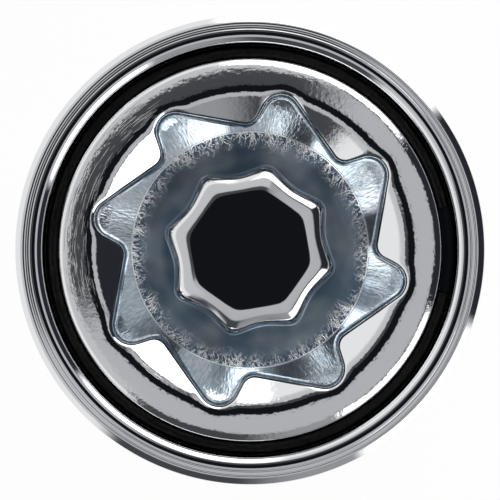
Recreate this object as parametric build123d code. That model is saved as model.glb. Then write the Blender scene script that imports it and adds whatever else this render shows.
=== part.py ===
from build123d import *
import os
from math import acos, asin, atan2, cos, degrees, radians, sin, sqrt, tan

# Key pattern: a recess of saw-tooth lobes around a star-shaped post
lobe_count = 8
lobe_valley_radius = 7.2
lobe_depth = 1.9
lobe_tip_round = 1.05
tooth_nose_round = 0.85
first_valley_angle = 1.9
tip_angle_after_valley = 30.3
recess_depth = 6.65
recess_draft_angle = 0.5
recess_floor_round = 0.2
recess_edge_round = 0.25
lead_in_angle = 35.0
floor_groove_radius = 6.85
floor_dish_round = 8.5
lobe_floor_rise_angle = 20.0

# Star post in the middle of the recess
star_middle_radius = 4.26
star_point_height = 0.77
star_point_round = 0.75
star_middle_round = 3.0
star_angle = 32.2
post_set_back = 0.6
post_draft_angle = 1.5
post_foot_round = 0.45
post_foot_turn_angle = 60.0
post_edge_round = 0.6
post_bevel_width = 0.45
post_bevel_angle = 16.0
post_top_round = 1.6
post_top_point_height = 0.37
post_edge_steps = 4
post_top_steps = 2

# Rim of the head
rim_wall = 1.95
crest_to_rim_edge = 1.95
rim_slope_angle = 12.0
crest_round = 0.85
rim_edge_round = 0.45

# Free-spinning collar
collar_gap = 0.76
collar_wall = 1.69
collar_running_clearance = 0.08
collar_end_clearance = 0.05
collar_set_back = 0.4
collar_land_width = 1.03
collar_land_angle = 12.0
collar_outer_round = 0.35
collar_inner_round = 0.6
collar_foot_round = 0.5
collar_foot_chamfer = 0.4

# Split wire ring that keeps the collar on
ring_wire = 1.6
ring_grip = 0.46
ring_below_top = 8.0
ring_mouth_gap = 5.0
ring_side_clearance = 0.05
ring_outer_clearance = 0.1
ring_compression_clearance = 0.02

# Seat, flange and journal below the head
seat_cone_angle = 60.0
end_face_width = 2.0
end_face_edge_round = 0.3
flange_width = 1.17
flange_chamfer = 0.4
flange_thickness = 1.8
journal_length = 3.0

# Thread
thread_diameter = 12.0
thread_pitch = 1.5
thread_mouth_margin = 0.3
drill_point_angle = 118.0
web_thickness = 2.4

total_height = 35.0

# Radii worked outward from the key pattern
lobe_tip_radius = lobe_valley_radius + lobe_depth
head_radius = lobe_tip_radius + rim_wall
crest_radius = head_radius - crest_to_rim_edge
collar_bore_radius = head_radius + collar_gap
collar_radius = collar_bore_radius + collar_wall
collar_crest_radius = collar_radius - collar_land_width
journal_radius = collar_bore_radius - collar_running_clearance
flange_radius = journal_radius + flange_width
ring_outer_radius = collar_bore_radius + ring_grip
ring_middle_radius = ring_outer_radius - ring_wire / 2
ring_groove_radius = collar_bore_radius - ring_wire - ring_compression_clearance

# Radii of the thread and the end face; the thread is five eighths of its sharp vee deep
sharp_thread_depth = thread_pitch * sqrt(3) / 2
thread_bore_radius = thread_diameter / 2 - sharp_thread_depth * 5 / 8
thread_mouth_radius = thread_diameter / 2 + thread_mouth_margin
end_face_radius = thread_mouth_radius + end_face_width
seat_top_radius = flange_radius - flange_chamfer

# Heights above the end face
seat_top_height = (seat_top_radius - end_face_radius) / tan(radians(seat_cone_angle / 2))
shoulder_height = seat_top_height + flange_chamfer + flange_thickness
journal_top_height = shoulder_height + journal_length
floor_height = total_height - recess_depth
drill_tip_height = floor_height - web_thickness
thread_end_height = drill_tip_height - thread_bore_radius / tan(radians(drill_point_angle / 2))
ring_height = total_height - ring_below_top
post_top_height = total_height - post_set_back
post_bevel = radians(post_bevel_angle)
post_bevel_inset = post_edge_round * (1 - sin(post_bevel)) + post_bevel_width
post_top_inset = post_bevel_inset + post_top_round * sin(post_bevel)
collar_foot_height = shoulder_height + collar_end_clearance
collar_top_height = total_height - collar_set_back

# Roundings of the lobes, limited to shares of the room on the steep flanks
tip_round_share = 0.53
nose_round_share = 0.42
lobe_pitch_angle = 360 / lobe_count
steep_flank_angle = lobe_pitch_angle - tip_angle_after_valley
lobe_middle_radius = lobe_valley_radius + lobe_depth / 2
steep_flank_room = 2 * lobe_middle_radius * sin(radians(steep_flank_angle / 2))
tip_round = min(lobe_tip_round, tip_round_share * steep_flank_room)
nose_round = min(tooth_nose_round, nose_round_share * steep_flank_room)


def polar(radius, angle):
    return Vector(radius * cos(radians(angle)), radius * sin(radians(angle)))


def round_corner(face, corner, radius):
    vertex = face.vertices().sort_by_distance(Vector(*corner))[0]
    return fillet(vertex, radius)


def turned(points, rounds):
    # A solid turned from a half section of (radius, height) points, with rounded corners
    section = make_face(Polyline(*points, close=True))
    for corner, radius in rounds:
        section = round_corner(section, corner, radius)
    return revolve(Plane.XZ * section, axis=Axis.Z)


def crossing_tangent(start, start_round, end, end_round, side):
    # The two ends of the straight flank that crosses between two round corners
    along = (end - start).normalized()
    across = Vector(-along.Y, along.X)
    angle = acos((start_round + end_round) / (end - start).length)
    outward = along * cos(angle) + across * (side * sin(angle))
    return start + outward * start_round, end - outward * end_round


def lobe_outline(growth, height):
    # Saw-tooth outline of the recess, with every wall moved out by the growth
    tip_size = tip_round + growth
    nose_size = nose_round - growth
    tips = []
    noses = []
    for lobe in range(lobe_count + 1):
        valley_angle = first_valley_angle + lobe * lobe_pitch_angle
        noses.append(polar(lobe_valley_radius + nose_round, valley_angle))
        tips.append(polar(lobe_tip_radius - tip_round, valley_angle + tip_angle_after_valley))
    gentle = []
    steep = []
    for lobe in range(lobe_count):
        gentle.append(crossing_tangent(noses[lobe], nose_size, tips[lobe], tip_size, 1))
        steep.append(crossing_tangent(tips[lobe], tip_size, noses[lobe + 1], nose_size, -1))
    edges = []
    for lobe in range(lobe_count):
        tip = tips[lobe]
        nose = noses[lobe]
        tip_middle = ((gentle[lobe][1] - tip) + (steep[lobe][0] - tip)).normalized() * tip_size
        nose_middle = ((steep[lobe - 1][1] - nose) + (gentle[lobe][0] - nose)).normalized() * nose_size
        edges.append(ThreePointArc(steep[lobe - 1][1], nose + nose_middle, gentle[lobe][0]))
        edges.append(Line(*gentle[lobe]))
        edges.append(ThreePointArc(gentle[lobe][1], tip + tip_middle, steep[lobe][0]))
        edges.append(Line(*steep[lobe]))
    return Pos(0, 0, height) * make_face(edges)


def wall_edges(solid, low, high):
    # Edges along the walls of the recess that lie between two heights
    chosen = []
    for face in solid.faces():
        middle = face.center()
        inside = sqrt(middle.X**2 + middle.Y**2) < head_radius - rim_wall / 2
        steep = abs(face.normal_at().Z) < sin(radians(lead_in_angle))
        if inside and steep and middle.Z > floor_height:
            for edge in face.edges():
                upright = edge.bounding_box().size.Z > recess_depth / 2
                if low < edge.center().Z < high and not upright:
                    chosen.append(edge)
    return chosen


def recess():
    # The hollow of the key pattern: a dished floor round the post that rises as a cone in the lobes
    clear_height = total_height + rim_wall
    growth = (clear_height - floor_height) * tan(radians(recess_draft_angle))
    walls = loft([lobe_outline(0, floor_height), lobe_outline(growth, clear_height)], ruled=True)
    dish_start = star_middle_radius + post_foot_round
    dish_angle = degrees(asin((floor_groove_radius - dish_start) / floor_dish_round))
    dish = JernArc((dish_start, floor_height), (1, 0), floor_dish_round, dish_angle)
    lobe_rise = (head_radius - floor_groove_radius) * tan(radians(lobe_floor_rise_angle))
    sides = Polyline(
        dish @ 1,
        (head_radius, (dish @ 1).Y + lobe_rise),
        (head_radius, clear_height),
        (0, clear_height),
        (0, floor_height),
        (dish_start, floor_height),
    )
    section = make_face([dish, sides])
    hollow = walls & revolve(Plane.XZ * section, axis=Axis.Z)
    return fillet(wall_edges(hollow, 0, floor_height + recess_depth / 2), recess_floor_round)


def star_outline(inset, height):
    # Star with straight sides and rounded corners, its sides moved in by the inset
    half_pitch = lobe_pitch_angle / 2
    point_loss = (star_point_height - post_top_point_height) * inset / post_top_inset
    middle = star_middle_radius - inset
    point = middle + star_point_height - point_loss
    size = middle / star_middle_radius
    point_size = star_point_round * size
    middle_size = star_middle_round * size
    run = middle * sin(radians(half_pitch))
    facing = degrees(atan2(point - middle * cos(radians(half_pitch)), run))
    point_centre = point - point_size / cos(radians(facing))
    middle_centre = middle + middle_size / cos(radians(facing - half_pitch))
    edges = []
    for side in range(lobe_count):
        angle = star_angle + side * lobe_pitch_angle
        cap = polar(point_centre, angle)
        bay = polar(middle_centre, angle + half_pitch)
        next_cap = polar(point_centre, angle + lobe_pitch_angle)
        cap_start = cap + polar(point_size, angle - facing)
        cap_end = cap + polar(point_size, angle + facing)
        bay_start = bay - polar(middle_size, angle + facing)
        bay_end = bay - polar(middle_size, angle + lobe_pitch_angle - facing)
        next_start = next_cap + polar(point_size, angle + lobe_pitch_angle - facing)
        edges.append(ThreePointArc(cap_start, cap + polar(point_size, angle), cap_end))
        edges.append(Line(cap_end, bay_start))
        edges.append(ThreePointArc(bay_start, bay - polar(middle_size, angle + half_pitch), bay_end))
        edges.append(Line(bay_end, next_start))
    return Pos(0, 0, height) * make_face(edges)


def post():
    # Star post: flared foot, drafted walls, round edge, shallow bevel and a flat top
    draft = tan(radians(post_draft_angle))
    bevel_top = post_top_height - post_top_round * (1 - cos(post_bevel))
    bevel_foot = bevel_top - post_bevel_width * tan(post_bevel)
    shoulder = bevel_foot - post_edge_round * cos(post_bevel)
    foot_top = floor_height + post_foot_round
    foot_inset = -(shoulder - foot_top) * draft
    foot_turn = radians(post_foot_turn_angle)
    foot_flare = foot_inset - post_foot_round * (1 - cos(foot_turn))
    flare_height = foot_top - post_foot_round * sin(foot_turn)
    root_height = floor_height - web_thickness / 8
    root_flare = foot_flare - (flare_height - root_height) * tan(foot_turn)
    sections = [
        star_outline(root_flare, root_height),
        star_outline(foot_flare, flare_height),
        star_outline(foot_inset, foot_top),
    ]
    for step in range(post_edge_steps + 1):
        tilt = radians(90) + (post_bevel - radians(90)) * step / post_edge_steps
        inset = post_edge_round * (1 - sin(tilt))
        sections.append(star_outline(inset, shoulder + post_edge_round * cos(tilt)))
    for step in range(post_top_steps + 1):
        tilt = post_bevel * (1 - step / post_top_steps)
        inset = post_bevel_inset + post_top_round * (sin(post_bevel) - sin(tilt))
        sections.append(star_outline(inset, bevel_top + post_top_round * (cos(tilt) - cos(post_bevel))))
    return loft(sections, ruled=True)


def nut_blank():
    # Turned form of the nut: seat, flange, journal, ring groove, rim and blind bore
    groove_reach = ring_wire / 2 + ring_side_clearance
    journal_step = journal_radius - head_radius
    outward = radians(rim_slope_angle)
    inward = radians(lead_in_angle)
    crest_trim = crest_round * ((sin(outward) + sin(inward)) / sin(outward + inward) - 1)
    crest_height = total_height + crest_trim
    rim_edge_height = crest_height - crest_to_rim_edge * tan(outward)
    lead_in_height = crest_height - (crest_radius - star_middle_radius) * tan(inward)
    mouth_depth = thread_mouth_radius - thread_bore_radius
    end_face_edge = (end_face_radius, 0)
    rim_edge = (head_radius, rim_edge_height)
    crest = (crest_radius, crest_height)
    points = [
        (0, drill_tip_height),
        (thread_bore_radius, thread_end_height),
        (thread_bore_radius, mouth_depth),
        (thread_mouth_radius, 0),
        end_face_edge,
        (seat_top_radius, seat_top_height),
        (flange_radius, seat_top_height + flange_chamfer),
        (flange_radius, shoulder_height),
        (journal_radius, shoulder_height),
        (journal_radius, journal_top_height - journal_step),
        (head_radius, journal_top_height),
        (head_radius, ring_height - groove_reach),
        (ring_groove_radius, ring_height - groove_reach),
        (ring_groove_radius, ring_height + groove_reach),
        (head_radius, ring_height + groove_reach),
        rim_edge,
        crest,
        (star_middle_radius, lead_in_height),
        (0, lead_in_height),
    ]
    rounds = [
        (end_face_edge, end_face_edge_round),
        (rim_edge, rim_edge_round),
        (crest, crest_round),
    ]
    return turned(points, rounds)


def nut_body():
    # One forging: the turned form with the recess sunk into it and the post left standing
    sunk = nut_blank() - recess()
    sunk = fillet(wall_edges(sunk, floor_height + recess_depth / 2, total_height), recess_edge_round)
    return sunk + post()


def spinning_collar():
    # Plain sleeve with a crested top and an inner groove for the ring
    groove_reach = ring_wire / 2 + ring_side_clearance
    groove_radius = ring_outer_radius + ring_outer_clearance
    outer_top = collar_top_height - collar_land_width * tan(radians(collar_land_angle))
    inner_edge = (collar_bore_radius, collar_top_height)
    outer_edge = (collar_radius, outer_top)
    foot_edge = (collar_radius, collar_foot_height)
    points = [
        (collar_bore_radius + collar_foot_chamfer, collar_foot_height),
        foot_edge,
        outer_edge,
        (collar_crest_radius, collar_top_height),
        inner_edge,
        (collar_bore_radius, ring_height + groove_reach),
        (groove_radius, ring_height + groove_reach),
        (groove_radius, ring_height - groove_reach),
        (collar_bore_radius, ring_height - groove_reach),
        (collar_bore_radius, collar_foot_height + collar_foot_chamfer),
    ]
    rounds = [
        (foot_edge, collar_foot_round),
        (outer_edge, collar_outer_round),
        (inner_edge, collar_inner_round),
    ]
    return turned(points, rounds)


def retaining_ring():
    # Round spring wire bent to a circle, open at its mouth
    mouth_angle = degrees(2 * asin(ring_mouth_gap / 2 / ring_middle_radius))
    wire = Plane.XZ * Pos(ring_middle_radius, ring_height) * Circle(ring_wire / 2)
    ring = revolve(wire, axis=Axis.Z, revolution_arc=360 - mouth_angle)
    return Rot(0, 0, mouth_angle / 2) * ring


os.makedirs("parts", exist_ok=True)
export_step(nut_body(), "parts/nut_body.step")
export_step(spinning_collar(), "parts/spinning_collar.step")
export_step(retaining_ring(), "parts/retaining_ring.step")
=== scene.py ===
import math

import bmesh
import bpy
import numpy as np
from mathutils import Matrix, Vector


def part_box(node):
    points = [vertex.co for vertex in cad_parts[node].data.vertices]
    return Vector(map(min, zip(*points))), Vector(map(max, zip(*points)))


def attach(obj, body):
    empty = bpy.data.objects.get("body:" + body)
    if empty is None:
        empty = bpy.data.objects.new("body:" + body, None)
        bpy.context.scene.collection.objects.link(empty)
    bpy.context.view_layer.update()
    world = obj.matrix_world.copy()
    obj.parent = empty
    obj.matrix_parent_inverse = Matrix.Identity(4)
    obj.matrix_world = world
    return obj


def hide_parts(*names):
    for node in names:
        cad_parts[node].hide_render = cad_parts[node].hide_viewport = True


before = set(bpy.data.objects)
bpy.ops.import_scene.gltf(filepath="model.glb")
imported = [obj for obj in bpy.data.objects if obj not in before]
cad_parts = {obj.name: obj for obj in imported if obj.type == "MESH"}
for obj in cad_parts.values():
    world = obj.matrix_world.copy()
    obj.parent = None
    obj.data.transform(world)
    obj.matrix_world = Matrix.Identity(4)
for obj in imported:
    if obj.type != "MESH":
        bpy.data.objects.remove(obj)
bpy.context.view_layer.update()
mm = 0.001
weld = 1e-7  # metres, points nearer than this become one
arcStep = 7.5  # degrees between the points of a rounded corner
sharpAngle = 30.0  # degrees, edges that turn more than this stay sharp in the shading
print("frame loaded:", sorted(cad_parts))


# Small helpers that every piece uses

def colour(hexText):
    channels = [int(hexText[i:i + 2], 16) / 255 for i in (1, 3, 5)]
    linear = [c / 12.92 if c <= 0.04045 else ((c + 0.055) / 1.055) ** 2.4 for c in channels]
    return (*linear, 1.0)


def addNode(tree, kind, inputs=(), out=0, **settings):  # one node with its settings and links
    node = tree.nodes.new(kind)
    for name, value in settings.items():
        setattr(node, name, value)
    pairs = inputs.items() if isinstance(inputs, dict) else enumerate(inputs)
    for socket, source in pairs:
        if isinstance(source, bpy.types.NodeSocket):
            tree.links.new(source, node.inputs[socket])
        else:
            node.inputs[socket].default_value = source
    return node if out is None else node.outputs[out]


def newTree(name, inputs):
    tree = bpy.data.node_groups.new(name, "GeometryNodeTree")
    tree.interface.new_socket("Geometry", in_out="INPUT", socket_type="NodeSocketGeometry")
    for label, kind in inputs.items():
        tree.interface.new_socket(label, in_out="INPUT", socket_type=kind)
    tree.interface.new_socket("Geometry", in_out="OUTPUT", socket_type="NodeSocketGeometry")
    return tree, addNode(tree, "NodeGroupInput", out=None).outputs, addNode(tree, "NodeGroupOutput", out=None)


def meshObject(name, points, faces, edges=()):
    mesh = bpy.data.meshes.new(name)
    mesh.from_pydata([tuple(p) for p in points], edges, faces)
    thing = bpy.data.objects.new(name, mesh)
    bpy.context.scene.collection.objects.link(thing)
    return thing


def grown(thing, tree, values):  # runs a node tree on an object and keeps the result as a plain mesh
    modifier = thing.modifiers.new(tree.name, "NODES")
    modifier.node_group = tree
    sockets = {s.name: s.identifier for s in tree.interface.items_tree if s.in_out == "INPUT"}
    for label, value in values.items():
        modifier[sockets[label]] = value
    bpy.context.view_layer.update()
    result = thing.evaluated_get(bpy.context.evaluated_depsgraph_get())
    mesh = bpy.data.meshes.new_from_object(result)
    thing.modifiers.remove(modifier)
    thing.data = mesh
    return thing


def unit(arrow):
    return arrow / np.linalg.norm(arrow)


def polar(radius, degrees):
    angle = math.radians(degrees)
    return np.array([radius * math.cos(angle), radius * math.sin(angle)])


def roundedLine(corners):  # (radius, height, rounding) corners joined by straight lines and arcs
    line = []
    for i, (r, z, rounding) in enumerate(corners):
        here = np.array([r, z])
        if rounding == 0:
            line.append(here)
            continue
        before = unit(np.array(corners[i - 1][:2]) - here)
        after = unit(np.array(corners[i + 1][:2]) - here)
        half = math.acos(float(np.clip(before @ after, -1, 1))) / 2
        centre = here + unit(before + after) * rounding / math.sin(half)
        first = here + before * rounding / math.tan(half) - centre
        last = here + after * rounding / math.tan(half) - centre
        turn = math.atan2(first[0] * last[1] - first[1] * last[0], first @ last)
        steps = max(4, int(abs(turn) / math.radians(arcStep)))
        for k in range(steps + 1):
            c, s = math.cos(turn * k / steps), math.sin(turn * k / steps)
            line.append(centre + np.array([c * first[0] - s * first[1], s * first[0] + c * first[1]]))
    return line


# A Mix node's two values are sockets 2 and 3 for numbers, 4 and 5 for vectors, 6 and 7 for colours
calc, split, join = "ShaderNodeMath", "ShaderNodeSeparateXYZ", "ShaderNodeCombineXYZ"
blend, band, vector = "ShaderNodeMix", "ShaderNodeMapRange", "ShaderNodeVectorMath"
noise = "ShaderNodeTexNoise"


def wrapped(tree, grid, radius, turn, height):  # lays a flat grid round the nut's axis
    across = addNode(tree, calc, [turn], operation="COSINE")
    along = addNode(tree, calc, [turn], operation="SINE")
    x = addNode(tree, calc, [radius, across], operation="MULTIPLY")
    y = addNode(tree, calc, [radius, along], operation="MULTIPLY")
    spot = addNode(tree, join, [x, y, height])
    return addNode(tree, "GeometryNodeSetPosition", {"Geometry": grid, "Position": spot})


def closeTree(tree, result, form, material):  # ends a tree in real meshes, joined seams and a material
    real = addNode(tree, "GeometryNodeRealizeInstances", [form])
    joined = addNode(tree, "GeometryNodeMergeByDistance", {"Geometry": real, "Distance": weld})
    painted = addNode(tree, "GeometryNodeSetMaterial", {"Geometry": joined, "Material": material})
    tree.links.new(painted, result.inputs[0])
    return tree


# Node tree that turns a half section about the nut's axis, as a lathe does

def latheTree():
    tree, given, result = newTree("turnedForm", {
        "Columns": "NodeSocketInt", "Material": "NodeSocketMaterial"})
    rows = addNode(tree, "GeometryNodeAttributeDomainSize", [given["Geometry"]], "Point Count",
                   component="MESH")
    columns = addNode(tree, calc, [given["Columns"], 1.0], operation="ADD")
    grid = addNode(tree, "GeometryNodeMeshGrid", [1.0, 1.0, columns, rows])
    place = addNode(tree, split, [addNode(tree, "GeometryNodeInputPosition")], None).outputs
    turn = addNode(tree, calc, [place[0], math.tau, math.pi], operation="MULTIPLY_ADD")
    last = addNode(tree, calc, [rows, 1.0], operation="SUBTRACT")
    share = addNode(tree, calc, [place[1], 0.5], operation="ADD")
    row = addNode(tree, calc, [share, last], operation="MULTIPLY")
    row = addNode(tree, calc, [row], operation="ROUND")
    spot = addNode(tree, "GeometryNodeSampleIndex", {
        "Geometry": given["Geometry"], "Index": row, "Value": addNode(tree, "GeometryNodeInputPosition"),
    }, data_type="FLOAT_VECTOR", domain="POINT")
    section = addNode(tree, split, [spot], None).outputs
    placed = wrapped(tree, grid, section[0], turn, section[2])
    return closeTree(tree, result, placed, given["Material"])


# Node tree that repeats one lobe round the nut's axis

def repeatTree():
    tree, given, result = newTree("repeatRoundAxis", {
        "Count": "NodeSocketInt", "Material": "NodeSocketMaterial"})
    seats = addNode(tree, "GeometryNodeMeshLine", {"Count": given["Count"], "Offset": (0, 0, 0)})
    step = addNode(tree, calc, [math.tau, given["Count"]], operation="DIVIDE")
    turn = addNode(tree, calc, [addNode(tree, "GeometryNodeInputIndex"), step], operation="MULTIPLY")
    copies = addNode(tree, "GeometryNodeInstanceOnPoints", {
        "Points": seats, "Instance": given["Geometry"], "Rotation": addNode(tree, join, {2: turn})})
    return closeTree(tree, result, copies, given["Material"])


# Node tree of the blind bore: countersunk mouth, right-hand thread that runs out, drill point

def threadTree():
    sizes = ["Bore Radius", "Thread Radius", "Pitch", "Mouth Radius", "Thread End", "Drill Tip"]
    inputs = {"Columns": "NodeSocketInt", "Rows": "NodeSocketInt", "Material": "NodeSocketMaterial"}
    tree, given, result = newTree("threadedBore", {**inputs, **{s: "NodeSocketFloat" for s in sizes}})
    bore, thread, pitch, mouth, end, tip = [given[s] for s in sizes]
    columns = addNode(tree, calc, [given["Columns"], 1.0], operation="ADD")
    grid = addNode(tree, "GeometryNodeMeshGrid", [1.0, 1.0, columns, given["Rows"]])
    place = addNode(tree, split, [addNode(tree, "GeometryNodeInputPosition")], None).outputs
    lap = addNode(tree, calc, [place[0], 0.5], operation="ADD")
    share = addNode(tree, calc, [place[1], 0.5], operation="ADD")
    height = addNode(tree, calc, [share, tip], operation="MULTIPLY")
    climb = addNode(tree, calc, [height, pitch], operation="DIVIDE")
    climb = addNode(tree, calc, [climb, lap], operation="SUBTRACT")
    wave = addNode(tree, calc, [climb, 0.5], operation="PINGPONG")
    boreFlat, rootFlat = 1 / 8, 1 / 16  # half the flats of the metric profile, in pitches
    flank = addNode(tree, band, [wave, boreFlat, 0.5 - rootFlat])
    fade = addNode(tree, calc, [pitch, -threadBore["runOutTurns"], end], operation="MULTIPLY_ADD")
    runOut = addNode(tree, band, [height, fade, end, 1.0, 0.0])
    deep = addNode(tree, calc, [thread, bore], operation="SUBTRACT")
    cut = addNode(tree, calc, [flank, runOut], operation="MULTIPLY")
    cut = addNode(tree, calc, [cut, deep, bore], operation="MULTIPLY_ADD")
    sink = addNode(tree, calc, [mouth, height], operation="SUBTRACT")
    wall = addNode(tree, calc, [cut, sink], operation="MAXIMUM")
    point = addNode(tree, band, [height, end, tip, 1.0, 0.0])
    radius = addNode(tree, calc, [wall, point], operation="MULTIPLY")
    turn = addNode(tree, calc, [lap, math.tau], operation="MULTIPLY")
    placed = wrapped(tree, grid, radius, turn, height)
    return closeTree(tree, result, placed, given["Material"])


# Materials

def newMaterial(name):
    material = bpy.data.materials.new(name)
    material.use_nodes = True
    tree = material.node_tree
    return material, tree, tree.nodes["Principled BSDF"]


chromeFinish = {"shade": "#dfe0e2", "rough": 0.06, "waveSpacing": 1.1111, "waveDepth": 0.003}  # sizes in mm


def chromePlating():  # electroplated chrome over polished steel: a neutral mirror with faint polishing waves
    finish = chromeFinish
    material, tree, shader = newMaterial("brightChromePlating")
    shader.inputs["Metallic"].default_value = 1.0
    shader.inputs["Base Color"].default_value = colour(finish["shade"])
    shader.inputs["Roughness"].default_value = finish["rough"]
    place = addNode(tree, "ShaderNodeTexCoord", out="Object")
    waves = addNode(tree, noise, {"Vector": place, "Scale": 1 / (finish["waveSpacing"] * mm), "Detail": 3.0})
    bump = addNode(tree, "ShaderNodeBump", {
        "Strength": 1.0, "Distance": finish["waveDepth"] * mm, "Height": waves})
    tree.links.new(bump, shader.inputs["Normal"])
    return material


recessFinish = {
    # heights in mm between which finishes fade, from the ring line, the floor or the post's shoulder
    "zincTop": (1.5, 1.1), "zincFoot": (-0.7, -0.5), "postTop": (-0.1, -0.5), "rimFoot": (3.5, 4.5),
    # radii in mm between which they fade, dishEdge and ringHighlightLine from the ring line
    "zincReach": (10.0, 9.8), "postReach": (5.8, 5.6), "rimInside": (6.2, 6.6), "rimCrest": (9.0, 9.4),
    "scuffRing": (5.2, 6.6), "dishEdge": (0.03, -0.03), "ringHighlightLine": (0.045, 0.015),
    "edgeSlope": (0.76, 0.7), "edgeUpright": (0.05, 0.15),  # how far up a lobe edge's rounded face looks, for the painted shade along the edges
    # sizes of the marks in mm, along and across the ring line where they go round the axis
    "scuffSpacing": 0.2362, "scuffLength": 0.7663, "patchSpacing": 0.7611, "scratchSpacing": 0.11048,
    "streakLength": 0.97857, "streakWidth": 0.075188, "cloudSpacing": 3.3333, "rippleSpacing": 0.25,
    "scuffLeans": (25.0, -35.0), "rubbedRim": 160.0, "rubbedTeeth": 232.0,  # degrees
    # how much of each noise's range shows as a mark
    "scuffSparse": 0.18, "scuffFull": 0.4, "scuffWidth": 0.046, "scuffCrown": 0.042, "scuffSoft": 0.015,
    "scuffStart": 0.05, "rubbedWidth": (0.6, 0.9), "streakLimit": 0.95, "streakSpread": 0.75,
    "streakSoft": 0.08, "cloudRange": (0.4, 0.6), "mottleRange": (0.8, 1.2), "filmRange": (0.42, 0.62),
    # relief, in wave depths of the chrome
    "scratchDepth": (1.4, 3.6), "scuffHeight": 1.2, "streakDepth": 0.8, "rippleDepth": 2.2,
    # roughness, share of dull film, grain and colours
    "lobeRough": 0.1, "postRough": 0.14, "dishRough": 0.2, "scuffRough": 0.2, "streakRough": 0.25,
    "edgeRough": 0.15, "lobeFilm": (0.02, 0.1), "dishFilm": (0.58, 0.12), "lobeGrain": 0.8,
    "zincShades": ("#b2c3d0", "#dae2e8"), "dishShades": ("#8ea5b9", "#dbe5ed"), "ringShade": "#62788b",
    "postShade": "#dcddde", "scuffAndHighlightShade": "#f8f8f8", "edgePaintedShade": "#5c6066",
}


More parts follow.
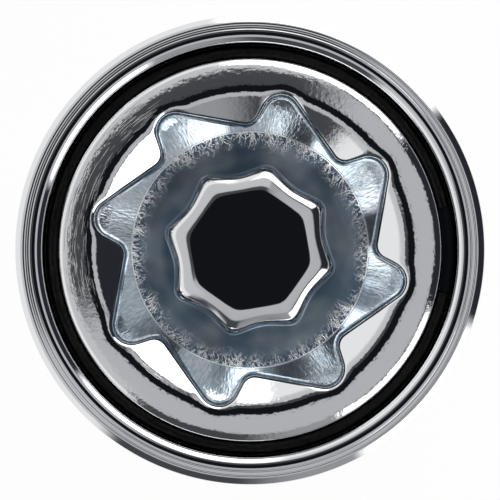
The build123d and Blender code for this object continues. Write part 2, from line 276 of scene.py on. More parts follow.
def recessPlating():  # chrome on rim and post, thin bluish plating down in the recess, both worn by the key, with painted shade along the lobe edges and a painted highlight on the ring line
    material, tree, shader = newMaterial("chromeAndWornZinc")
    finish, line = recessFinish, keyRecess["ringRadius"]
    place = addNode(tree, "ShaderNodeTexCoord", out="Object")
    height = addNode(tree, split, [place], 2)
    flat = addNode(tree, vector, [place, (1, 1, 0)], operation="MULTIPLY")
    radius = addNode(tree, vector, [flat], "Value", operation="LENGTH")
    ray = addNode(tree, vector, [flat], operation="NORMALIZE")

    # where the finishes lie: down in the recess, inside the ring line, on the post and on the rim's top
    fades = {}
    for name, along, origin in [
            ("zincTop", height, ringHeight), ("zincFoot", height, floorHeight), ("zincReach", radius, 0),
            ("dishEdge", radius, line), ("postTop", height, shoulderHeight), ("postReach", radius, 0),
            ("rimFoot", height, ringHeight), ("rimInside", radius, 0), ("rimCrest", radius, 0),
            ("scuffRing", radius, 0)]:
        fades[name] = addNode(tree, band, [along, *((origin + at) * mm for at in finish[name])])
    recess = addNode(tree, calc, [fades["zincTop"], fades["zincFoot"]], operation="MULTIPLY")
    recess = addNode(tree, calc, [recess, fades["zincReach"]], operation="MULTIPLY")
    dish = addNode(tree, calc, [fades["dishEdge"], recess], operation="MULTIPLY")
    lobes = addNode(tree, calc, [recess, dish], operation="SUBTRACT")
    post = addNode(tree, calc, [fades["postTop"], fades["postReach"]], operation="MULTIPLY")
    post = addNode(tree, calc, [post, fades["zincFoot"]], operation="MULTIPLY")
    rimTop = addNode(tree, calc, [fades["rimFoot"], fades["rimInside"]], operation="MULTIPLY")
    # painted shade: steep faces down the lobe edges near the rim are tinted dark, standing in for the dark
    # outlines that shade and reflection give them
    upward = addNode(tree, split, [addNode(tree, "ShaderNodeTexCoord", out="Normal")], 2)
    edges = addNode(tree, band, [upward, *finish["edgeSlope"]])
    upright = addNode(tree, band, [upward, *finish["edgeUpright"]])
    for mask in (upright, rimTop, fades["zincReach"]):
        edges = addNode(tree, calc, [edges, mask], operation="MULTIPLY")

    # scuffs that run outwards, about 0.05 mm wide, on seamless rings of noise, thickest at the ring line
    scale = line / finish["scuffSpacing"]
    lift = addNode(tree, calc, [radius, 1 / (scale * finish["scuffLength"] * mm)], operation="MULTIPLY")
    track = addNode(tree, vector, [ray, addNode(tree, join, {2: lift})], operation="ADD")
    ridge = 1.0
    for lean in finish["scuffLeans"]:
        turn = addNode(tree, calc, [radius, math.tan(math.radians(lean)) / (line * mm)], operation="MULTIPLY")
        leaning = addNode(tree, "ShaderNodeVectorRotate", {"Vector": track, "Angle": turn},
                          rotation_type="Z_AXIS")
        grain = addNode(tree, noise, {"Vector": leaning, "Scale": scale, "Detail": 1.0, "Distortion": 1.0})
        off = addNode(tree, calc, [grain, 0.5], operation="SUBTRACT")
        off = addNode(tree, calc, [off], operation="ABSOLUTE")
        ridge = addNode(tree, calc, [off, ridge], operation="MINIMUM")
    patch = addNode(tree, noise, {"Vector": track, "Scale": line / finish["patchSpacing"], "Detail": 3.0})
    outward = fades["scuffRing"]
    worn = addNode(tree, calc, [outward, dish], operation="MULTIPLY")
    worn = addNode(tree, calc, [worn, patch, -finish["scuffSparse"]], operation="MULTIPLY_ADD")
    reach = addNode(tree, band, [worn, 0.0, finish["scuffFull"], 0.0, finish["scuffWidth"]])
    scuffs = addNode(tree, calc, [ridge, reach], operation="SUBTRACT")
    swell = addNode(tree, band, [scuffs, 0.0, -finish["scuffCrown"]])  # the scuffs' raised, rounded profile
    scuffs = addNode(tree, band, [scuffs, 0.0, -finish["scuffSoft"]])
    begun = addNode(tree, band, [worn, 0.0, finish["scuffStart"]])
    scuffs = addNode(tree, calc, [scuffs, begun], operation="MULTIPLY")

    # the ring line, where the dish meets the lobes: a small real burr, with a painted highlight, the scuffs'
    # white tint, laid along it
    burr = addNode(tree, calc, [radius, line * mm], operation="SUBTRACT")
    burr = addNode(tree, calc, [burr], operation="ABSOLUTE")
    burr = addNode(tree, band, [burr, *(at * mm for at in finish["ringHighlightLine"])])
    burr = addNode(tree, calc, [burr, recess], operation="MULTIPLY")
    # the painted highlight on the ring line joins the scuffs mask here, so it takes their white tint
    scuffs = addNode(tree, calc, [scuffs, burr], operation="MAXIMUM")

    # streaks round the rim and the tooth tops, about 0.08 mm wide and 1.5 mm long, on the two rubbed sides
    cloud = addNode(tree, noise, {"Vector": place, "Scale": 1 / (finish["cloudSpacing"] * mm), "Detail": 2.0})
    scale = line / finish["streakLength"]
    lift = addNode(tree, calc, [radius, 1 / (scale * finish["streakWidth"] * mm)], operation="MULTIPLY")
    lap = addNode(tree, vector, [ray, addNode(tree, join, {2: lift})], operation="ADD")
    streak = addNode(tree, noise, {"Vector": lap, "Scale": scale, "Detail": 1.0, "Distortion": 0.3})
    teeth, crest = [(*polar(1.0, finish[name]), 0) for name in ("rubbedTeeth", "rubbedRim")]
    facing = addNode(tree, blend, {"Factor": fades["rimCrest"], 4: teeth, 5: crest}, 1, data_type="VECTOR")
    side = addNode(tree, vector, [ray, facing], "Value", operation="DOT_PRODUCT")
    side = addNode(tree, band, [side, *finish["rubbedWidth"]], interpolation_type="SMOOTHSTEP")
    limit = addNode(tree, calc, [cloud, side], operation="MULTIPLY")
    limit = addNode(tree, calc, [limit, -finish["streakSpread"], finish["streakLimit"]],
                    operation="MULTIPLY_ADD")
    streaks = addNode(tree, calc, [streak, limit], operation="SUBTRACT")
    streaks = addNode(tree, band, [streaks, 0.0, finish["streakSoft"]])
    streaks = addNode(tree, calc, [streaks, rimTop], operation="MULTIPLY")

    # colours, among them the painted shade on the lobe edges and the painted highlight on the ring line,
    # roughness and the dull film, each laid over the chrome by its mask
    scratch = addNode(tree, noise, {"Vector": track, "Scale": line / finish["scratchSpacing"], "Detail": 2.0})
    mottle = addNode(tree, calc, [scratch, cloud], operation="ADD")
    mottle = addNode(tree, band, [mottle, *finish["mottleRange"]])
    dark, pale = map(colour, finish["zincShades"])
    zinc = addNode(tree, blend, {"Factor": mottle, 6: dark, 7: pale}, 2, data_type="RGBA")
    blotch = addNode(tree, band, [cloud, *finish["cloudRange"]])
    dark, pale = map(colour, finish["dishShades"])
    dull = addNode(tree, blend, {"Factor": blotch, 6: dark, 7: pale}, 2, data_type="RGBA")
    shade = colour(finish["ringShade"])
    dull = addNode(tree, blend, {"Factor": outward, 6: dull, 7: shade}, 2, data_type="RGBA")
    tint = colour(chromeFinish["shade"])
    # the edges mask lays painted shade, a dark tint, along the lobe edges; the scuffs mask also lays the
    # painted highlight on the ring line
    for mask, shade in [(recess, zinc), (post, colour(finish["postShade"])), (dish, dull),
                        (scuffs, colour(finish["scuffAndHighlightShade"])), (edges, colour(finish["edgePaintedShade"]))]:
        tint = addNode(tree, blend, {"Factor": mask, 6: tint, 7: shade}, 2, data_type="RGBA")
    rough = chromeFinish["rough"]
    for mask, name in [(recess, "lobeRough"), (post, "postRough"), (dish, "dishRough"),
                       (scuffs, "scuffRough"), (streaks, "streakRough"), (edges, "edgeRough")]:
        rough = addNode(tree, blend, {"Factor": mask, 2: rough, 3: finish[name]}, data_type="FLOAT")
    film = addNode(tree, band, [cloud, *finish["filmRange"], *finish["lobeFilm"]])
    film = addNode(tree, calc, [film, lobes], operation="MULTIPLY")
    bare = addNode(tree, calc, [dish, scuffs], operation="SUBTRACT", use_clamp=True)
    satin = addNode(tree, band, [outward, 0.0, 1.0, *finish["dishFilm"]])
    film = addNode(tree, calc, [bare, satin, film], operation="MULTIPLY_ADD")
    metal = addNode(tree, calc, [1.0, film], operation="SUBTRACT")

    # relief: polishing waves, scratches left by the key, scuffs, streaks and fine ripples on the rim
    waves = 1 / (chromeFinish["waveSpacing"] * mm)
    relief = addNode(tree, noise, {"Vector": place, "Scale": waves, "Detail": 3.0})
    scored = addNode(tree, band, [cloud, *finish["cloudRange"], *finish["scratchDepth"]])
    scored = addNode(tree, calc, [scored, lobes], operation="MULTIPLY")
    ripples = 1 / (finish["rippleSpacing"] * mm)
    ripple = addNode(tree, noise, {"Vector": place, "Scale": ripples, "Detail": 2.0})
    rippled = addNode(tree, calc, [rimTop, finish["rippleDepth"]], operation="MULTIPLY")
    for mask, depth in [(scratch, scored), (swell, finish["scuffHeight"]), (streaks, -finish["streakDepth"]),
                        (ripple, rippled)]:
        relief = addNode(tree, calc, [mask, depth, relief], operation="MULTIPLY_ADD")
    bump = addNode(tree, "ShaderNodeBump", {
        "Strength": 1.0, "Distance": chromeFinish["waveDepth"] * mm, "Height": relief})
    grained = addNode(tree, calc, [lobes, finish["lobeGrain"]], operation="MULTIPLY")
    around = addNode(tree, "ShaderNodeTangent", direction_type="RADIAL", axis="Z")
    for socket, source in [("Base Color", tint), ("Metallic", metal), ("Roughness", rough), ("Normal", bump),
                           ("Anisotropic", grained), ("Tangent", around)]:
        tree.links.new(source, shader.inputs[socket])
    return material


wireFinish = {"shades": ("#5d5c5b", "#83827f"), "mottleSpacing": 0.25,  # mm
              "mottleRange": (0.3, 0.7), "rough": (0.28, 0.45)}


def springSteel():  # drawn spring wire: dull grey with a fine mottle that makes its shine uneven
    finish = wireFinish
    material, tree, shader = newMaterial("drawnSpringSteel")
    shader.inputs["Metallic"].default_value = 1.0
    place = addNode(tree, "ShaderNodeTexCoord", out="Object")
    spots = 1 / (finish["mottleSpacing"] * mm)
    mottle = addNode(tree, noise, {"Vector": place, "Scale": spots, "Detail": 3.0})
    dark, pale = map(colour, finish["shades"])
    tint = addNode(tree, blend, {"Factor": mottle, 6: dark, 7: pale}, 2, data_type="RGBA")
    rough = addNode(tree, band, [mottle, *finish["mottleRange"], *finish["rough"]])
    tree.links.new(tint, shader.inputs["Base Color"])
    tree.links.new(rough, shader.inputs["Roughness"])
    return material


# Key recess of saw-tooth lobes, the rim round it and the star post in it, in mm

keyRecess = {
    "lobes": 8, "valleyRadius": 7.2, "lobeDepth": 1.9, "tipRound": 1.05, "noseRound": 0.85,
    "firstValley": 1.9, "tipAfterValley": 30.3, "depth": 6.65, "draft": 0.5, "edgeRound": 0.14,
    "tipEdgeRound": 0.19, "sweepWidth": 0.22, "sweepAngle": 20.0, "cornerRound": 0.04, "dishRound": 8.5,
    "ringRadius": 6.85, "lobeRise": 20.5, "burrHeight": 0.006, "burrWidth": 0.03,
}
rim = {
    "wall": 1.95, "crestToEdge": 1.77, "edgeRound": 0.44, "edgeFlat": 0.1, "skirt": 0.8,
    "crestWave": 0.27, "waveHalfWidth": 9.5, "waveSlope": 11.0, "waveFade": 0.8,
    "tilts": [  # distance from the crest, tilt in degrees
        (-1.01, -35.0), (-0.17, -8.75), (0.17, 8.75), (1.22, 14.0), (1.46, 17.5)],
    "profileReach": 4.0, "profileSteps": 6000,
}
starPost = {
    "middleCorner": 4.26, "pointCorner": 5.03, "pointRound": 0.75, "middleRound": 3.0, "pointAngle": 32.2,
    "setBack": 0.6, "draft": 0.8, "edgeRound": 0.6, "bevelWidth": 0.35, "bevelAngle": 15.0, "topRound": 1.6,
    "pointInset": 1.4, "footRound": 0.12,
}
headMesh = {"nose": 6, "gentle": 24, "tip": 20, "steep": 4, "slopeRows": 46, "edgeRows": 8, "wallRows": 4,
            "filletRows": 6, "lobeFloorRows": 8, "burrRows": 6, "floorRows": 10, "footRows": 6, "postRows": 3,
            "crownRows": 9, "bevelRows": 3, "domeRows": 5, "topRows": 4}

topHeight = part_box("nut_body")[1].z / mm
tipRadius = keyRecess["valleyRadius"] + keyRecess["lobeDepth"]
headRadius = tipRadius + rim["wall"]
crestRadius = headRadius - rim["crestToEdge"]
floorHeight = topHeight - keyRecess["depth"]
postTop = topHeight - starPost["setBack"]
bevel = math.radians(starPost["bevelAngle"])
crownHeight = (starPost["edgeRound"] * math.cos(bevel) + starPost["bevelWidth"] * math.tan(bevel)
               + starPost["topRound"] * (1 - math.cos(bevel)))
shoulderHeight = postTop - crownHeight
postFlare = (shoulderHeight - floorHeight) * math.tan(math.radians(starPost["draft"]))
dishStart = starPost["middleCorner"] + postFlare
ringHeight = floorHeight + (keyRecess["ringRadius"] - dishStart) ** 2 / (2 * keyRecess["dishRound"])


def crossingTangent(start, startRound, end, endRound, side):
    along = unit(end - start)
    across = np.array([-along[1], along[0]])
    angle = math.acos((startRound + endRound) / np.linalg.norm(end - start))
    return along * math.cos(angle) + across * side * math.sin(angle)


def arcNormals(first, last, steps):
    turn = math.atan2(first[0] * last[1] - first[1] * last[0], first @ last)
    start = math.atan2(first[1], first[0])
    angles = [start + turn * k / steps for k in range(steps)]
    return [np.array([math.cos(a), math.sin(a)]) for a in angles]


def lobeOutline():  # points and outward normals along one lobe, from one tooth's nose to the next
    k = keyRecess
    pitch = 360 / k["lobes"]
    spin = math.radians(pitch)
    turned = np.array([[math.cos(spin), -math.sin(spin)], [math.sin(spin), math.cos(spin)]])
    nose = polar(k["valleyRadius"] + k["noseRound"], k["firstValley"])
    tip = polar(tipRadius - k["tipRound"], k["firstValley"] + k["tipAfterValley"])
    nextNose = turned @ nose
    gentle = crossingTangent(nose, k["noseRound"], tip, k["tipRound"], 1)
    steep = crossingTangent(tip, k["tipRound"], nextNose, k["noseRound"], -1)
    noseMiddle = unit(turned.T @ steep - gentle)
    points = []
    normals = []
    for n in arcNormals(noseMiddle, -gentle, headMesh["nose"]):
        points.append(nose - n * k["noseRound"])
        normals.append(n)
    start, end = nose + gentle * k["noseRound"], tip - gentle * k["tipRound"]
    for s in range(headMesh["gentle"]):
        points.append(start + (end - start) * s / headMesh["gentle"])
        normals.append(-gentle)
    for n in arcNormals(-gentle, steep, headMesh["tip"]):
        points.append(tip + n * k["tipRound"])
        normals.append(n)
    start, end = tip + steep * k["tipRound"], nextNose - steep * k["noseRound"]
    for s in range(headMesh["steep"]):
        points.append(start + (end - start) * s / headMesh["steep"])
        normals.append(steep)
    for n in arcNormals(steep, turned @ noseMiddle, headMesh["nose"]):
        points.append(nextNose - n * k["noseRound"])
        normals.append(n)
    points.append(turned @ points[0])
    normals.append(turned @ normals[0])
    return np.array(points), np.array(normals)


def crestLine():  # the rim's top: a rounded crest that bends out round the lobe tips, with a slope each side
    spots, tilts = np.array(rim["tilts"]).T
    across = np.linspace(crestRadius - rim["profileReach"], headRadius, rim["profileSteps"])
    slope = np.tan(np.arcsin(np.interp(across - crestRadius, spots, np.sin(np.radians(tilts)))))
    line = -np.cumsum(slope) * (across[1] - across[0])
    line += topHeight - line.max()
    pitch = 360 / keyRecess["lobes"]
    outward = math.tan(math.radians(rim["waveSlope"]))

    def height(r, angle):
        fromTip = angle - keyRecess["firstValley"] - keyRecess["tipAfterValley"]
        fromTip = (fromTip + pitch / 2) % pitch - pitch / 2
        near = np.clip(np.abs(fromTip) / rim["waveHalfWidth"], 0, 1)
        fade = np.clip((spots[-1] - (r - crestRadius)) / rim["waveFade"], 0, 1)
        shift = rim["crestWave"] * (1 + np.cos(math.pi * near)) / 2 * fade * fade * (3 - 2 * fade)
        return np.interp(r - shift, across, line) - shift * outward

    return height


edgeHeight = float(crestLine()(np.array(headRadius), 0.0))  # of the rim's outer edge before it is rounded


def floorLine(r, angle=0.0):  # the floor is a shallow dish round the post and a steeper cone out in the lobes
    k = keyRecess
    out = r - k["ringRadius"]
    burr = k["burrHeight"] * np.exp(-(out / k["burrWidth"]) ** 2)
    dish = floorHeight + np.maximum(r - dishStart, 0) ** 2 / (2 * k["dishRound"])
    return burr + np.where(out > 0, ringHeight + out * math.tan(math.radians(k["lobeRise"])), dish)


def starRadius(degrees):  # radius of the straight-sided star, and how far each direction is towards a point
    s = starPost
    half = math.radians(180 / keyRecess["lobes"])
    away = np.abs((np.radians(degrees - s["pointAngle"]) + half) % (2 * half) - half)
    facing = math.atan2(s["pointCorner"] - s["middleCorner"] * math.cos(half),
                        s["middleCorner"] * math.sin(half))
    hollow = facing - half
    pointCentre = s["pointCorner"] - s["pointRound"] / math.cos(facing)
    middleCentre = s["middleCorner"] + s["middleRound"] / math.cos(hollow)
    pointTouch = math.atan2(s["pointRound"] * math.sin(facing),
                            pointCentre + s["pointRound"] * math.cos(facing))
    middleTouch = half - math.atan2(s["middleRound"] * math.sin(hollow),
                                    middleCentre - s["middleRound"] * math.cos(hollow))
    aside = pointCentre * np.sin(away)
    cap = pointCentre * np.cos(away) + np.sqrt(np.maximum(s["pointRound"] ** 2 - aside ** 2, 0))
    aside = middleCentre * np.sin(half - away)
    bay = middleCentre * np.cos(half - away) - np.sqrt(np.maximum(s["middleRound"] ** 2 - aside ** 2, 0))
    side = s["pointCorner"] * math.cos(facing) / np.cos(away - facing)
    radius = np.where(away < pointTouch, cap, np.where(away > middleTouch, bay, side))
    least, most = middleCentre - s["middleRound"], pointCentre + s["pointRound"]
    return radius, (radius - least) / (most - least)


def headSector():  # rows of points from the head's side over the rim, down the recess and up the post
    k = keyRecess
    points, normals = lobeOutline()
    columns = len(points) - 1
    edgeAngle = np.degrees(np.unwrap(np.arctan2(points[:, 1], points[:, 0])))
    even = edgeAngle[0] + np.linspace(0, 360 / k["lobes"], columns + 1)
    top = crestLine()
    draft = math.tan(math.radians(k["draft"]))
    rows = []

    def addRow(plan, height):
        rows.append(np.column_stack([plan, np.broadcast_to(height, len(plan))]))

    def ring(radius, angle):
        return np.column_stack([radius * np.cos(np.radians(angle)), radius * np.sin(np.radians(angle))])

    def addBlend(start, end, steps, height):  # rows spread between two outlines
        r0, r1 = np.hypot(*start.T), np.hypot(*end.T)
        a0 = np.unwrap(np.arctan2(start[:, 1], start[:, 0]))
        a1 = np.unwrap(np.arctan2(end[:, 1], end[:, 0]))
        for s in range(1, steps):
            share = s / steps
            r = r0 + (r1 - r0) * share
            angle = np.degrees(a0 + (a1 - a0) * share)
            addRow(ring(r, angle), height(r, angle))

    slopeStart = crestRadius + rim["tilts"][-1][0] - rim["edgeFlat"]
    corner = [(headRadius, edgeHeight - rim["skirt"], 0), (headRadius, edgeHeight, rim["edgeRound"]),
              (slopeStart, float(top(np.array(slopeStart), 0.0)), 0)]
    for r, z in roundedLine(corner):
        addRow(ring(r, even), z)

    def topAt(plan):
        return top(np.hypot(*plan.T), np.degrees(np.arctan2(plan[:, 1], plan[:, 0])))

    wallTop = topAt(points)
    growth = (wallTop - floorHeight) * draft
    tipward = np.clip((np.hypot(*points.T) - k["valleyRadius"]) / k["lobeDepth"], 0, 1) ** 3
    edgeRound = k["edgeRound"] + (k["tipEdgeRound"] - k["edgeRound"]) * tipward
    lip = points + normals * (growth + edgeRound)[:, None]
    addBlend(rows[-1][:, :2], lip, headMesh["slopeRows"], top)
    for s in range(headMesh["edgeRows"] + 1):
        turn = math.radians(90 * s / headMesh["edgeRows"])
        plan = points + normals * (growth + edgeRound * (1 - math.sin(turn)))[:, None]
        addRow(plan, topAt(plan) - edgeRound * (1 - math.cos(turn)))
    high = rows[-1][:, 2]
    sweepRise = k["sweepWidth"] * math.tan(math.radians(k["sweepAngle"])) / 2
    low = floorLine(np.hypot(*points.T)) + sweepRise + k["cornerRound"]
    for s in range(1, headMesh["wallRows"]):
        height = high + (low - high) * s / headMesh["wallRows"]
        addRow(points + normals * ((height - floorHeight) * draft)[:, None], height)
    base = points + normals * ((low - floorHeight) * draft)[:, None]
    addRow(base, low)
    for s in range(headMesh["filletRows"] + 1):  # the floor sweeps up to a tight corner at the wall
        share = s / headMesh["filletRows"]
        plan = base - normals * (k["cornerRound"] + (k["sweepWidth"] - k["cornerRound"]) * share)
        addRow(plan, floorLine(np.hypot(*plan.T)) + sweepRise * (1 - share) ** 2)

    burrReach = 2 * k["burrWidth"]
    outer = k["ringRadius"] + burrReach
    addBlend(rows[-1][:, :2], ring(np.full(columns + 1, outer), even), headMesh["lobeFloorRows"], floorLine)
    for s in range(headMesh["burrRows"] + 1):
        r = np.full(columns + 1, outer - 2 * burrReach * s / headMesh["burrRows"])
        addRow(ring(r, even), floorLine(r))
    star, towardsPoint = starRadius(even)
    flare, steep = starPost["footRound"], math.tan(math.radians(starPost["draft"]))
    foot = star + postFlare
    addBlend(rows[-1][:, :2], ring(foot + flare, even), headMesh["floorRows"], floorLine)
    for s in range(headMesh["footRows"] + 1):
        turn = math.radians(90 * s / headMesh["footRows"])
        height = floorLine(foot + flare) + flare * (1 - math.cos(turn))
        lean = flare * steep * s / headMesh["footRows"]
        addRow(ring(foot + flare * (1 - math.sin(turn)) - lean, even), height)
    footTop = rows[-1][:, 2]
    crownScale = 1 + (starPost["pointInset"] - 1) * towardsPoint
    shoulder = postTop - crownHeight * crownScale
    for s in range(1, headMesh["postRows"]):
        height = footTop + (shoulder - footTop) * s / headMesh["postRows"]
        addRow(ring(star + (shoulderHeight - height) * steep, even), height)

    edge, dome = starPost["edgeRound"], starPost["topRound"]
    crown = []
    for s in range(headMesh["crownRows"] + 1):
        tilt = math.pi / 2 + (bevel - math.pi / 2) * s / headMesh["crownRows"]
        crown.append((edge * (1 - math.sin(tilt)), edge * math.cos(tilt)))
    inset, rise = crown[-1]
    for s in range(1, headMesh["bevelRows"]):
        run = starPost["bevelWidth"] * s / headMesh["bevelRows"]
        crown.append((inset + run, rise + run * math.tan(bevel)))
    inset, rise = inset + starPost["bevelWidth"], rise + starPost["bevelWidth"] * math.tan(bevel)
    for s in range(headMesh["domeRows"] + 1):
        tilt = bevel * (1 - s / headMesh["domeRows"])
        crown.append((inset + dome * (math.sin(bevel) - math.sin(tilt)),
                      rise + dome * (math.cos(tilt) - math.cos(bevel))))
    for inset, rise in crown:
        lean = (shoulderHeight - shoulder) * steep
        addRow(ring(star + lean - inset * crownScale, even), postTop - (crownHeight - rise) * crownScale)
    for s in range(1, headMesh["topRows"] + 1):
        addRow(rows[-1][:, :2] * (1 - 1 / (headMesh["topRows"] + 1 - s)), postTop)

    flat = np.concatenate(rows) * mm
    faces = []
    for i in range(len(rows) - 1):
        for j in range(columns):
            a = i * (columns + 1) + j
            faces.append((a, a + 1, a + columns + 2, a + columns + 1))
    return meshObject("headSector", flat, faces)


# Seat, flange, journal and ring groove below the head, in mm

shank = {
    "journalRadius": 11.73, "flangeRadius": 12.9, "flangeChamfer": 0.4, "flangeThickness": 1.8,
    "journalLength": 3.0, "seatAngle": 60.0, "endFaceWidth": 2.0, "endLand": 1.2, "endEdgeRound": 0.3,
    "seatEdgeRound": 0.12, "flangeEdgeRound": 0.15, "neckBelowTop": 2.5,
    "ringBelowTop": 8.0, "ringWire": 1.6, "ringSide": 0.05, "ringGrooveRadius": 10.19, "columns": 240,
}
threadBore = {"diameter": 12.0, "pitch": 1.5, "runOutTurns": 2.0, "mouthMargin": 0.3, "drillPoint": 118.0,
              "web": 2.4, "columns": 80, "rowsPerPitch": 12}

# the metric profile is a sharp triangle cut off at five eighths of its height
boreRadius = threadBore["diameter"] / 2 - threadBore["pitch"] * math.sqrt(3) / 2 * 5 / 8
mouthRadius = threadBore["diameter"] / 2 + threadBore["mouthMargin"]
drillTip = floorHeight - threadBore["web"]
threadEnd = drillTip - boreRadius / math.tan(math.radians(threadBore["drillPoint"] / 2))
ringSlack = 0.01  # mm by which a vertex may miss the ring that is looked for


def shankSection():
    s = shank
    endRadius = mouthRadius + s["endFaceWidth"]
    seatRadius = s["flangeRadius"] - s["flangeChamfer"]
    seatTop = (seatRadius - endRadius) / math.tan(math.radians(s["seatAngle"] / 2))
    shoulder = seatTop + s["flangeChamfer"] + s["flangeThickness"]
    journalTop = shoulder + s["journalLength"]
    wireHeight = topHeight - s["ringBelowTop"]
    reach = s["ringWire"] / 2 + s["ringSide"]
    corners = [
        (endRadius - s["endLand"], 0, 0), (endRadius, 0, s["endEdgeRound"]),
        (seatRadius, seatTop, s["seatEdgeRound"]),
        (s["flangeRadius"], seatTop + s["flangeChamfer"], s["seatEdgeRound"]),
        (s["flangeRadius"], shoulder, s["flangeEdgeRound"]), (s["journalRadius"], shoulder, 0),
        (s["journalRadius"], journalTop - s["journalRadius"] + headRadius, 0), (headRadius, journalTop, 0),
        (headRadius, wireHeight - reach, 0), (s["ringGrooveRadius"], wireHeight - reach, 0),
        (s["ringGrooveRadius"], wireHeight + reach, 0), (headRadius, wireHeight + reach, 0),
        (headRadius, topHeight - s["neckBelowTop"], 0),
    ]
    return roundedLine(corners)


def sectionObject(name, line):
    points = [(r * mm, 0, z * mm) for r, z in line]
    return meshObject(name, points, [], [(i, i + 1) for i in range(len(points) - 1)])


def bearing(vertex):
    return math.atan2(vertex.co.y, vertex.co.x)


def ringOf(bm, radius, height):  # the open ring of vertices at a radius and a height, in order
    found = [v for v in bm.verts if abs(v.co.z / mm - height) < ringSlack and v.is_boundary
             and abs(math.hypot(v.co.x, v.co.y) / mm - radius) < ringSlack]
    return sorted(found, key=bearing)


def zipRings(bm, first, second):  # closes the strip between two rings of any counts
    i = j = 0
    while i < len(first) or j < len(second):
        a, b = first[i % len(first)], second[j % len(second)]
        nextA = bearing(first[i + 1]) if i + 1 < len(first) else bearing(first[0]) + math.tau
        nextB = bearing(second[j + 1]) if j + 1 < len(second) else bearing(second[0]) + math.tau
        if j >= len(second) or (i < len(first) and nextA <= nextB):
            bm.faces.new((a, first[(i + 1) % len(first)], b))
            i += 1
        else:
            bm.faces.new((a, second[(j + 1) % len(second)], b))
            j += 1


def finishMesh(bm, name, material):
    bmesh.ops.recalc_face_normals(bm, faces=bm.faces)
    openEdges = sum(1 for e in bm.edges if len(e.link_faces) != 2)
    mesh = bpy.data.meshes.new(name)
    bm.to_mesh(mesh)
    bm.free()
    mesh.materials.clear()
    mesh.materials.append(material)
    mesh.polygons.foreach_set("material_index", [0] * len(mesh.polygons))
    mesh.polygons.foreach_set("use_smooth", [True] * len(mesh.polygons))
    mesh.set_sharp_from_angle(angle=math.radians(sharpAngle))
    thing = bpy.data.objects.new(name, mesh)
    bpy.context.scene.collection.objects.link(thing)
    print(name, "faces", len(mesh.polygons), "open edges", openEdges)
    return thing


def buildNut(material, lathe, repeat, thread):
    head = grown(headSector(), repeat, {"Count": keyRecess["lobes"], "Material": material})
    line = shankSection()
    body = grown(sectionObject("shankSection", line), lathe,
                 {"Columns": shank["columns"], "Material": material})
    bore = meshObject("boreSeed", [(0, 0, 0)], [])
    rows = int(drillTip / threadBore["pitch"] * threadBore["rowsPerPitch"])
    bore = grown(bore, thread, {
        "Columns": threadBore["columns"], "Rows": rows, "Material": material, "Bore Radius": boreRadius * mm,
        "Thread Radius": threadBore["diameter"] / 2 * mm, "Pitch": threadBore["pitch"] * mm,
        "Mouth Radius": mouthRadius * mm, "Thread End": threadEnd * mm, "Drill Tip": drillTip * mm})
    bm = bmesh.new()
    for piece in (head, body, bore):
        bm.from_mesh(piece.data)
        bpy.data.objects.remove(piece)
    bmesh.ops.remove_doubles(bm, verts=bm.verts, dist=weld)
    zipRings(bm, ringOf(bm, headRadius, edgeHeight - rim["skirt"]), ringOf(bm, headRadius, line[-1][1]))
    zipRings(bm, ringOf(bm, line[0][0], 0), ringOf(bm, mouthRadius, 0))
    return finishMesh(bm, "nutBody", material)


# Free-spinning collar, in mm

collar = {
    "bore": 11.81, "radius": 13.5, "foot": 9.55, "setBack": 0.4, "landWidth": 1.03, "landSlope": 12.0,
    "landDepth": 0.5, "outerRound": 0.48, "crestRound": 0.57, "innerRound": 0.6, "footRound": 0.5,
    "footChamfer": 0.4, "grooveRadius": 12.37, "lineSpacings": (0.15, 0.21), "lineDepths": (0.0022, 0.0018),
    "landRows": 56, "columns": 320,
}


def turnedLines(line, start, end):  # fine marks of the turning tool along a straight stretch of a section
    c = collar
    first, last = np.array(start), np.array(end)
    along = unit(last - first)
    length = np.linalg.norm(last - first)
    for s in range(c["landRows"] + 1):
        way = length * s / c["landRows"]
        fade = math.sin(math.pi * s / c["landRows"]) ** 0.5
        depth = sum(d * math.sin(math.tau * way / w) for w, d in zip(c["lineSpacings"], c["lineDepths"]))
        line.append(first + along * way + np.array([along[1], -along[0]]) * depth * fade)


def collarSection():
    c = collar
    top = topHeight - c["setBack"]
    wireHeight = topHeight - shank["ringBelowTop"]
    reach = shank["ringWire"] / 2 + shank["ringSide"]
    crest = c["radius"] - c["landWidth"]
    outer = top - c["landWidth"] * math.tan(math.radians(c["landSlope"]))
    corners = [
        (c["bore"] + c["footChamfer"], c["foot"], 0), (c["radius"], c["foot"], c["footRound"]),
        (c["radius"], outer, c["outerRound"]), (crest, top, c["crestRound"]),
        (c["bore"], top - (crest - c["bore"]) * math.tan(math.radians(c["landSlope"])), c["innerRound"]),
        (c["bore"], wireHeight + reach, 0), (c["grooveRadius"], wireHeight + reach, 0),
        (c["grooveRadius"], wireHeight - reach, 0), (c["bore"], wireHeight - reach, 0),
        (c["bore"], c["foot"] + c["footChamfer"], 0), (c["bore"] + c["footChamfer"], c["foot"], 0),
    ]
    plain = roundedLine(corners)
    # the land is the longest straight stretch near the top
    upper = [i for i in range(len(plain) - 1) if min(plain[i][1], plain[i + 1][1]) > top - c["landDepth"]]
    land = max(upper, key=lambda i: np.linalg.norm(plain[i + 1] - plain[i]))
    line = plain[:land + 1]
    turnedLines(line, plain[land], plain[land + 1])
    return line + plain[land + 1:]


def buildCollar(material, lathe):
    sleeve = grown(sectionObject("collarSection", collarSection()), lathe,
                   {"Columns": collar["columns"], "Material": material})
    bm = bmesh.new()
    bm.from_mesh(sleeve.data)
    bpy.data.objects.remove(sleeve)
    bmesh.ops.remove_doubles(bm, verts=bm.verts, dist=weld)
    return finishMesh(bm, "collarSleeve", material)


lathe = latheTree()
chrome = chromePlating()
nutBody = buildNut(recessPlating(), lathe, repeatTree(), threadTree())
collarSleeve = buildCollar(chrome, lathe)
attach(nutBody, "nut")
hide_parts("nut_body")
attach(collarSleeve, "collar")
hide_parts("spinning_collar")
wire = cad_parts["retaining_ring"]
wire.data.materials.clear()
wire.data.materials.append(springSteel())
print("pieces made")


# White floor, studio surroundings and camera

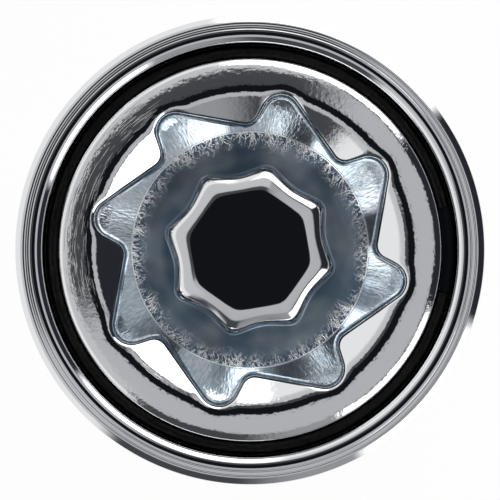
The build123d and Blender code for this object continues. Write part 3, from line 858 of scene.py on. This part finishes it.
stage = {"floorReach": 45.0, "floorSides": 128, "floorGap": 0.02,  # mm
         "floorShade": "#f4f4f3", "floorRough": 0.9, "floorGlow": 0.95}
studio = {  # angles in degrees
    "lowShade": "#2b2d34", "ceiling": (311, 111, 20, "#c6c7ca"), "ceilingDark": "#4c4d50",
    "ceilingFrom": (32, 3), "zenith": ("#15171b", 17.5, 3),
    # a panel's azimuth, half width and edge softness, its top from straight up and that edge's softness,
    # its colour and strength
    "darkPanels": [
        (266, 34, 10, 31, 3, "#4a4c50", 1.0), (292, 15, 22, 31, 3, "#a3a5a8", 1.0),
    ],
    "lightPanels": [
        (147, 85, 10, 28, 3, "#d6d7d8", 1.0), (164, 67, 10, 46, 14, "#ffffff", 1.02),
        (67.5, 28.5, 10, 35, 3, "#ffffff", 3.0), (320, 19, 10, 35, 3, "#ffffff", 3.0),
    ],
}
camera = {"distance": 700.0, "frame": 28.725, "sensor": 36.0, "nearest": 1.0, "farthest": 50000.0}  # mm


def softEdge(angle, soft):  # cosines of the outer and the inner side of a panel's soft edge
    return [math.cos(math.radians(angle + side * soft / 2)) for side in (1, -1)]


def buildStudio():
    world = bpy.data.worlds.new("studio")
    world.use_nodes = True
    bpy.context.scene.world = world
    tree = world.node_tree
    tree.nodes.clear()
    ray = addNode(tree, "ShaderNodeTexCoord", out="Generated")
    flat = addNode(tree, vector, [ray, (1, 1, 0)], operation="MULTIPLY")
    flat = addNode(tree, vector, [flat], operation="NORMALIZE")
    height = addNode(tree, split, [ray], 2)
    smooth = {"interpolation_type": "SMOOTHSTEP"}

    def besides(azimuth, halfWidth, soft):  # how far a direction lies within a panel's width
        near = addNode(tree, vector, [flat, (*polar(1.0, azimuth), 0)], "Value", operation="DOT_PRODUCT")
        return addNode(tree, band, [near, *softEdge(halfWidth, soft)], **smooth)

    def hang(under, panels):  # lays panels over what is seen behind them
        for azimuth, halfWidth, soft, top, topSoft, shade, strength in panels:
            glow = (*(c * strength for c in colour(shade)[:3]), 1.0)
            above = addNode(tree, band, [height, *softEdge(top, topSoft)], **smooth)
            below = addNode(tree, calc, [1.0, above], operation="SUBTRACT")
            mask = addNode(tree, calc, [besides(azimuth, halfWidth, soft), below], operation="MULTIPLY")
            under = addNode(tree, blend, {"Factor": mask, 6: under, 7: glow}, 2, data_type="RGBA")
        return under

    *across, shade = studio["ceiling"]
    dark, pale = colour(studio["ceilingDark"]), colour(shade)
    ceiling = addNode(tree, blend, {"Factor": besides(*across), 6: dark, 7: pale}, 2, data_type="RGBA")
    around = hang(colour(studio["lowShade"]), studio["darkPanels"])
    mask = addNode(tree, band, [height, *softEdge(*studio["ceilingFrom"])], **smooth)
    around = addNode(tree, blend, {"Factor": mask, 6: around, 7: ceiling}, 2, data_type="RGBA")
    around = hang(around, studio["lightPanels"])
    shade, reach, soft = studio["zenith"]
    mask = addNode(tree, band, [height, *softEdge(reach, soft)], **smooth)
    around = addNode(tree, blend, {"Factor": mask, 6: around, 7: colour(shade)}, 2, data_type="RGBA")
    # the camera sees a white backdrop, the chrome sees the studio round it
    path = addNode(tree, "ShaderNodeLightPath", out=None).outputs
    seen = addNode(tree, calc, [path["Is Camera Ray"], path["Is Transmission Ray"]], operation="MAXIMUM")
    shown = addNode(tree, blend, {"Factor": seen, 6: around, 7: (1, 1, 1, 1)}, 2, data_type="RGBA")
    addNode(tree, "ShaderNodeOutputWorld", [addNode(tree, "ShaderNodeBackground", [shown, 1.0])], None)


def buildFloor():  # a round card, past whose edge the chrome shows the studio
    sides = stage["floorSides"]
    corners = [polar(stage["floorReach"] * mm, 360 * i / sides) for i in range(sides)]
    floor = meshObject("studioFloor", [(x, y, -stage["floorGap"] * mm) for x, y in corners], [range(sides)])
    # uncoated white card: matt, and plain white to the camera and to the chrome
    material, tree, shader = newMaterial("whitePaper")
    shader.inputs["Base Color"].default_value = colour(stage["floorShade"])
    shader.inputs["Roughness"].default_value = stage["floorRough"]
    path = addNode(tree, "ShaderNodeLightPath", out=None).outputs
    seen = addNode(tree, calc, [path["Is Camera Ray"], path["Is Glossy Ray"]], operation="MAXIMUM")
    seen = addNode(tree, calc, [seen, path["Is Transmission Ray"]], operation="MAXIMUM")
    share = addNode(tree, calc, [seen, stage["floorGlow"]], operation="MULTIPLY")
    glow = addNode(tree, "ShaderNodeEmission", [(1, 1, 1, 1), 1.0])
    mixed = addNode(tree, "ShaderNodeMixShader", [share, shader.outputs[0], glow])
    tree.links.new(mixed, tree.nodes["Material Output"].inputs[0])
    floor.data.materials.append(material)


def buildCamera():
    lens = bpy.data.cameras.new("topView")
    eye = bpy.data.objects.new("topView", lens)
    bpy.context.scene.collection.objects.link(eye)
    lens.sensor_width = camera["sensor"]
    lens.lens = camera["sensor"] * camera["distance"] / camera["frame"]
    lens.clip_start = camera["nearest"] * mm
    lens.clip_end = camera["farthest"] * mm
    eye.location = (0, 0, (topHeight - collar["setBack"] + camera["distance"]) * mm)
    bpy.context.scene.camera = eye


buildStudio()
buildFloor()
buildCamera()
bpy.context.scene.view_settings.view_transform = "Standard"
print("stage made")
